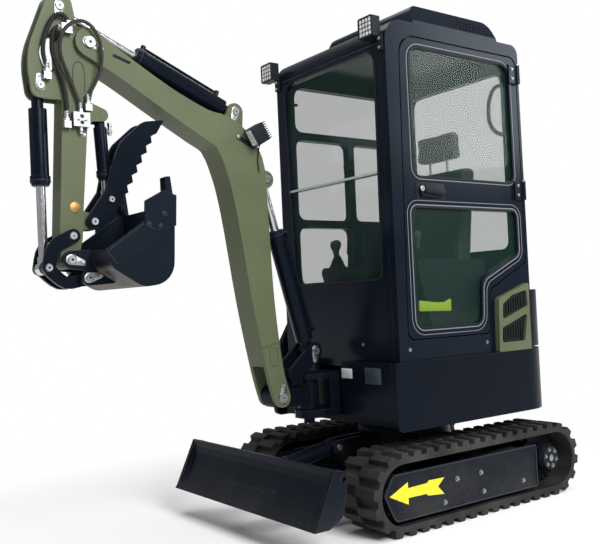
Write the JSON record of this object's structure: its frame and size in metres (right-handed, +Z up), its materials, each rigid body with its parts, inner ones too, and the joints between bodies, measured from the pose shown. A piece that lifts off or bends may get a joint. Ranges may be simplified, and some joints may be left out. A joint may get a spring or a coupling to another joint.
{
  "type": "mini excavator",
  "caption": "Mini excavator with rubber tracks, dozer blade, glazed cab, swing boom, arm, bucket and hydraulic thumb.",
  "frame": {"origin": "on the ground under the middle of the parked machine's length and width", "axes": "+X forward, +Y to the machine's left, +Z up"},
  "size_m": [2.4889, 1.09, 2.326],
  "materials": {
    "navy_paint": "satin",
    "olive_paint": "satin",
    "track_rubber": "matte",
    "chrome_rod": "polished",
    "bright_steel": "brushed",
    "tinted_glass": "clear",
    "black_trim": "matte",
    "seat_vinyl": "matte",
    "engine_iron": "cast",
    "wheel_steel": "painted"
  },
  "bodies": {
    "undercarriage": {"carbody": "navy_paint", "track_frame_left": "navy_paint", "track_frame_right": "navy_paint", "track_left": "track_rubber", "track_right": "track_rubber", "sprocket_left": "wheel_steel", "sprocket_right": "wheel_steel", "rollers_left": "wheel_steel", "rollers_right": "wheel_steel", "slew_ring": "wheel_steel"},
    "blade": {"blade": "navy_paint"},
    "blade_barrel": {"blade_barrel": "navy_paint"},
    "blade_rod": {"blade_rod": "chrome_rod"},
    "house": {"deck": "navy_paint", "side_skirts": "navy_paint", "front_cowl": "navy_paint", "counterweight": "navy_paint", "engine": "engine_iron", "side_grilles": "olive_paint", "grille_mesh": "black_trim", "cab_front": "navy_paint", "cab_left": "navy_paint", "cab_right": "navy_paint", "cab_rear": "navy_paint", "cab_roof": "navy_paint", "cab_floor": "black_trim", "cab_glass": "tinted_glass", "roof_unit": "navy_paint", "cab_lamps": "black_trim", "seat_base": "black_trim", "seat": "seat_vinyl", "consoles": "black_trim", "travel_levers": "black_trim"},
    "door": {"door": "navy_paint", "door_glass": "tinted_glass"},
    "hood": {"hood": "navy_paint"},
    "swing_post": {"swing_post": "navy_paint"},
    "boom": {"boom": "olive_paint", "boom_lamp": "black_trim"},
    "boom_barrel": {"boom_barrel": "navy_paint"},
    "boom_rod": {"boom_rod": "chrome_rod"},
    "arm": {"arm": "olive_paint", "valve_block": "bright_steel", "arm_hoses": "track_rubber"},
    "arm_barrel": {"arm_barrel": "navy_paint"},
    "arm_rod": {"arm_rod": "chrome_rod"},
    "bucket": {"bucket": "navy_paint"},
    "idler_links": {"idler_links": "navy_paint"},
    "bucket_link": {"bucket_link": "navy_paint"},
    "bucket_barrel": {"bucket_barrel": "navy_paint"},
    "bucket_rod": {"bucket_rod": "chrome_rod"},
    "thumb": {"thumb": "navy_paint"},
    "thumb_barrel": {"thumb_barrel": "navy_paint"},
    "thumb_rod": {"thumb_rod": "chrome_rod"}
  },
  "joints": [
    {"name": "slew", "type": "hinge", "parent": "undercarriage", "child": "house", "pos_m": [-0.565, 0, 0.391], "axis": [0, 0, 1], "continuous": true},
    {"name": "blade_lift", "type": "hinge", "parent": "undercarriage", "child": "blade", "pos_m": [-0.235, 0, 0.15], "axis": [0, -1, 0], "range_deg": [-28, 8]},
    {"name": "blade_barrel_turn", "type": "hinge", "parent": "undercarriage", "child": "blade_barrel", "pos_m": [-0.118, 0, 0.305], "axis": [0, -1, 0], "range_deg": [-31.91, 9.47]},
    {"name": "blade_rod_slide", "type": "slide", "parent": "blade_barrel", "child": "blade_rod", "axis": [0.9859, 0, -0.1672], "range_m": [-0.0284, 0.0918]},
    {"name": "door_hinge", "type": "hinge", "parent": "house", "child": "door", "pos_m": [-1.021, 0.443, 1.5], "axis": [0, 0, 1], "range_deg": [0, 100]},
    {"name": "hood_hinge", "type": "hinge", "parent": "house", "child": "hood", "pos_m": [-1.067, 0, 0.993], "axis": [0, 1, 0], "range_deg": [0, 55]},
    {"name": "boom_swing", "type": "hinge", "parent": "house", "child": "swing_post", "pos_m": [0.01, 0, 0.56], "axis": [0, 0, 1], "range_deg": [-50, 70]},
    {"name": "boom_lift", "type": "hinge", "parent": "swing_post", "child": "boom", "pos_m": [0.196, 0, 0.564], "axis": [0, -1, 0], "range_deg": [-85, 5]},
    {"name": "boom_barrel_turn", "type": "hinge", "parent": "swing_post", "child": "boom_barrel", "pos_m": [0.005, 0, 0.753], "axis": [0, -1, 0], "range_deg": [-82.27, 5.31]},
    {"name": "boom_rod_slide", "type": "slide", "parent": "boom_barrel", "child": "boom_rod", "axis": [0.2689, 0, 0.9632], "range_m": [-0.0255, 0.3858]},
    {"name": "arm_crowd", "type": "hinge", "parent": "boom", "child": "arm", "pos_m": [1.015, 0, 1.993], "axis": [0, 1, 0], "range_deg": [-112, 2]},
    {"name": "arm_barrel_turn", "type": "hinge", "parent": "boom", "child": "arm_barrel", "pos_m": [0.363, 0, 1.798], "axis": [0, -1, 0], "range_deg": [-0.63, 8]},
    {"name": "arm_rod_slide", "type": "slide", "parent": "arm_barrel", "child": "arm_rod", "axis": [0.9187, 0, 0.3949], "range_m": [-0.2693, 0.0078]},
    {"name": "bucket_curl", "type": "hinge", "parent": "arm", "child": "bucket", "pos_m": [1.118, 0, 1.168], "axis": [0, 1, 0], "range_deg": [-170, 5]},
    {"name": "idler_turn", "type": "hinge", "parent": "arm", "child": "idler_links", "pos_m": [1.101, 0, 1.258], "axis": [0, -1, 0], "range_deg": [-3.5, 102.5]},
    {"name": "bucket_link_turn", "type": "hinge", "parent": "idler_links", "child": "bucket_link", "pos_m": [1.197, 0, 1.141], "axis": [0, -1, 0], "range_deg": [-15.8, 0.95]},
    {"name": "bucket_barrel_turn", "type": "hinge", "parent": "arm", "child": "bucket_barrel", "pos_m": [1.201, 0, 1.814], "axis": [0, -1, 0], "range_deg": [-0.62, 4.75]},
    {"name": "bucket_rod_slide", "type": "slide", "parent": "bucket_barrel", "child": "bucket_rod", "axis": [-0.0059, 0, -1], "range_m": [-0.2374, 0.0099]},
    {"name": "thumb_turn", "type": "hinge", "parent": "arm", "child": "thumb", "pos_m": [1.014, 0, 1.313], "axis": [0, 1, 0], "range_deg": [-10, 20]},
    {"name": "thumb_barrel_turn", "type": "hinge", "parent": "arm", "child": "thumb_barrel", "pos_m": [0.962, 0, 1.728], "axis": [0, -1, 0], "range_deg": [-3.24, 5.98]},
    {"name": "thumb_rod_slide", "type": "slide", "parent": "thumb_barrel", "child": "thumb_rod", "axis": [-0.0578, 0, -0.9983], "range_m": [-0.0255, 0.0142]}
  ],
  "couplings": [
    {"joint": "blade_barrel_turn", "follows": "blade_lift", "ratio": 1.1217},
    {"joint": "blade_rod_slide", "follows": "blade_lift", "m_per_rad": -0.18162},
    {"joint": "boom_barrel_turn", "follows": "boom_lift", "ratio": 0.962},
    {"joint": "boom_rod_slide", "follows": "boom_lift", "m_per_rad": -0.258},
    {"joint": "arm_barrel_turn", "follows": "arm_crowd", "ratio": -0.06699},
    {"joint": "arm_rod_slide", "follows": "arm_crowd", "m_per_rad": 0.13624},
    {"joint": "idler_turn", "follows": "bucket_curl", "ratio": -0.6},
    {"joint": "bucket_link_turn", "follows": "bucket_curl", "ratio": 0.09},
    {"joint": "bucket_barrel_turn", "follows": "bucket_curl", "ratio": -0.025},
    {"joint": "bucket_rod_slide", "follows": "bucket_curl", "m_per_rad": 0.079},
    {"joint": "thumb_barrel_turn", "follows": "thumb_turn", "ratio": 0.27392},
    {"joint": "thumb_rod_slide", "follows": "thumb_turn", "m_per_rad": -0.064451}
  ]
}
